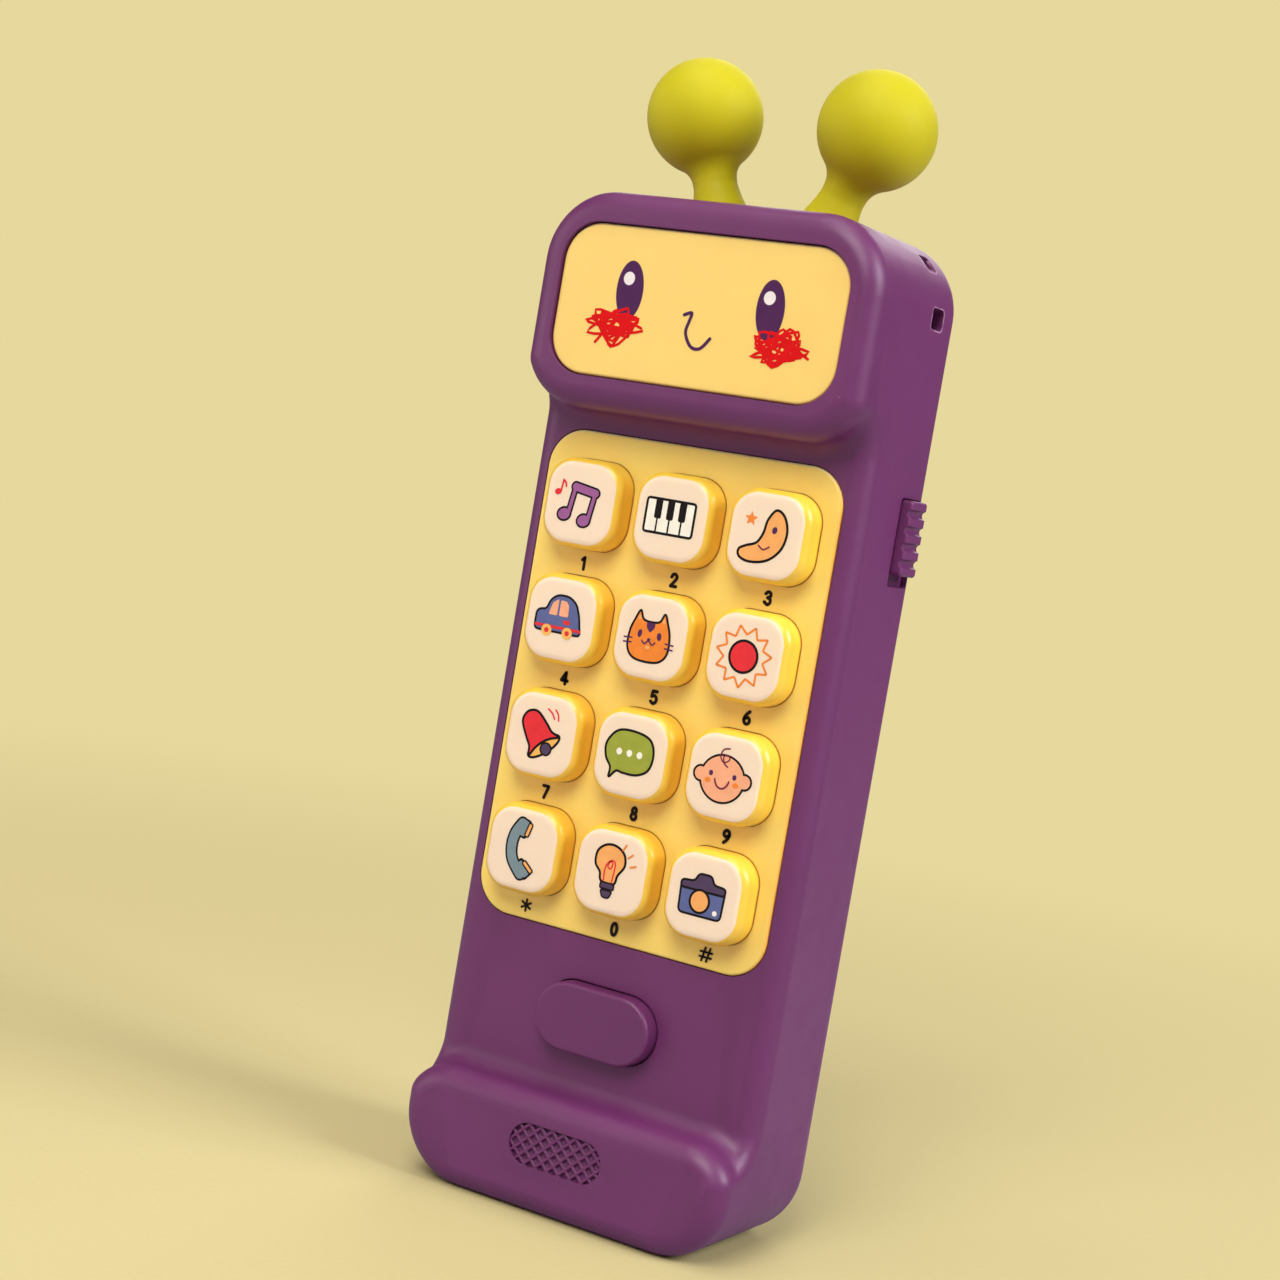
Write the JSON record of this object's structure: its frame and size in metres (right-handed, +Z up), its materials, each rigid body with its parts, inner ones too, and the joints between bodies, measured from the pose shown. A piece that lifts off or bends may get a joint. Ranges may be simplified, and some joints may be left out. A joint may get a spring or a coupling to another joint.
{
  "type": "toy cell phone",
  "caption": "Upright toy cell phone with a raised smiling face panel, chunky press keys, a pill call button, a side slide switch and two soft ball antennae.",
  "frame": {"origin": "middle of the flat bottom end, at half of the body's depth", "axes": "+Z up along the phone towards the antennae, -Y out of the face with the keys, +X to the right seen from the front"},
  "size_m": [0.0585, 0.0318, 0.1781],
  "materials": {
    "purple_casing": "satin soft-touch moulded ABS",
    "yellow_panel": "satin moulded ABS",
    "yellow_key": "semi-gloss moulded ABS with a cream printed top",
    "grey_silicone": "matte silicone",
    "lime_silicone": "matte silicone",
    "circuit_board": "solder mask",
    "black_resin": "satin",
    "clear_lamp": "clear epoxy",
    "plated_steel": "zinc or nickel plated",
    "ferrite": "sintered",
    "black_film": "thin moulded film",
    "battery_jacket": "printed jacket",
    "red_wire": "soft insulation",
    "black_wire": "soft insulation"
  },
  "bodies": {
    "casing": {"front_shell": "purple_casing", "rear_cover": "purple_casing", "face_panel": "yellow_panel", "keypad_plate": "yellow_panel", "key_mat": "grey_silicone", "call_dome": "grey_silicone", "main_board": "circuit_board", "controller_chip": "black_resin", "capacitors": "black_resin", "face_lamps": "clear_lamp", "speaker_frame": "plated_steel", "speaker_magnet": "ferrite", "speaker_cone": "black_film", "speaker_screws": "plated_steel", "case_screws": "plated_steel", "board_screws": "plated_steel", "slide_switch_case": "plated_steel", "switch_board": "circuit_board", "battery_1": "battery_jacket", "battery_2": "battery_jacket", "battery_3": "battery_jacket", "battery_springs": "plated_steel", "battery_contacts": "plated_steel", "battery_wires": "red_wire", "speaker_wires": "black_wire", "switch_wires": "black_wire"},
    "key_1_cap": {"key_1": "yellow_key"},
    "key_2_cap": {"key_2": "yellow_key"},
    "key_3_cap": {"key_3": "yellow_key"},
    "key_4_cap": {"key_4": "yellow_key"},
    "key_5_cap": {"key_5": "yellow_key"},
    "key_6_cap": {"key_6": "yellow_key"},
    "key_7_cap": {"key_7": "yellow_key"},
    "key_8_cap": {"key_8": "yellow_key"},
    "key_9_cap": {"key_9": "yellow_key"},
    "key_star_cap": {"key_star": "yellow_key"},
    "key_0_cap": {"key_0": "yellow_key"},
    "key_hash_cap": {"key_hash": "yellow_key"},
    "call_cap": {"call_button": "purple_casing"},
    "switch_slider": {"switch_knob": "purple_casing", "slide_switch_lever": "black_resin"},
    "antenna_left_flex": {"antenna_left": "lime_silicone"},
    "antenna_right_flex": {"antenna_right": "lime_silicone"},
    "door": {"battery_door": "purple_casing", "battery_door_screw": "plated_steel"}
  },
  "joints": [
    {"name": "key_1_press", "type": "slide", "parent": "casing", "child": "key_1_cap", "axis": [0, 1, 0], "range_m": [0, 0.0012], "stiffness_N_per_m": 800, "deforming": ["key_mat"]},
    {"name": "key_2_press", "type": "slide", "parent": "casing", "child": "key_2_cap", "axis": [0, 1, 0], "range_m": [0, 0.0012], "stiffness_N_per_m": 800, "deforming": ["key_mat"]},
    {"name": "key_3_press", "type": "slide", "parent": "casing", "child": "key_3_cap", "axis": [0, 1, 0], "range_m": [0, 0.0012], "stiffness_N_per_m": 800, "deforming": ["key_mat"]},
    {"name": "key_4_press", "type": "slide", "parent": "casing", "child": "key_4_cap", "axis": [0, 1, 0], "range_m": [0, 0.0012], "stiffness_N_per_m": 800, "deforming": ["key_mat"]},
    {"name": "key_5_press", "type": "slide", "parent": "casing", "child": "key_5_cap", "axis": [0, 1, 0], "range_m": [0, 0.0012], "stiffness_N_per_m": 800, "deforming": ["key_mat"]},
    {"name": "key_6_press", "type": "slide", "parent": "casing", "child": "key_6_cap", "axis": [0, 1, 0], "range_m": [0, 0.0012], "stiffness_N_per_m": 800, "deforming": ["key_mat"]},
    {"name": "key_7_press", "type": "slide", "parent": "casing", "child": "key_7_cap", "axis": [0, 1, 0], "range_m": [0, 0.0012], "stiffness_N_per_m": 800, "deforming": ["key_mat"]},
    {"name": "key_8_press", "type": "slide", "parent": "casing", "child": "key_8_cap", "axis": [0, 1, 0], "range_m": [0, 0.0012], "stiffness_N_per_m": 800, "deforming": ["key_mat"]},
    {"name": "key_9_press", "type": "slide", "parent": "casing", "child": "key_9_cap", "axis": [0, 1, 0], "range_m": [0, 0.0012], "stiffness_N_per_m": 800, "deforming": ["key_mat"]},
    {"name": "key_star_press", "type": "slide", "parent": "casing", "child": "key_star_cap", "axis": [0, 1, 0], "range_m": [0, 0.0012], "stiffness_N_per_m": 800, "deforming": ["key_mat"]},
    {"name": "key_0_press", "type": "slide", "parent": "casing", "child": "key_0_cap", "axis": [0, 1, 0], "range_m": [0, 0.0012], "stiffness_N_per_m": 800, "deforming": ["key_mat"]},
    {"name": "key_hash_press", "type": "slide", "parent": "casing", "child": "key_hash_cap", "axis": [0, 1, 0], "range_m": [0, 0.0012], "stiffness_N_per_m": 800, "deforming": ["key_mat"]},
    {"name": "call_press", "type": "slide", "parent": "casing", "child": "call_cap", "axis": [0, 1, 0], "range_m": [0, 0.0012], "stiffness_N_per_m": 800, "deforming": ["call_dome"]},
    {"name": "switch_slide", "type": "slide", "parent": "casing", "child": "switch_slider", "axis": [0, 0, 1], "range_m": [-0.0016, 0]},
    {"name": "antenna_left_bend", "type": "hinge", "parent": "casing", "child": "antenna_left_flex", "pos_m": [-0.0089, -0.0005, 0.153], "axis": [0, 1, 0], "range_deg": [-10, 10], "stiffness_Nm_per_rad": 0.15},
    {"name": "antenna_right_bend", "type": "hinge", "parent": "casing", "child": "antenna_right_flex", "pos_m": [0.0089, -0.0005, 0.153], "axis": [0, 1, 0], "range_deg": [-10, 10], "stiffness_Nm_per_rad": 0.15},
    {"name": "battery_door_lift", "type": "slide", "parent": "casing", "child": "door", "axis": [0, 1, 0], "range_m": [0, 0.03]}
  ]
}
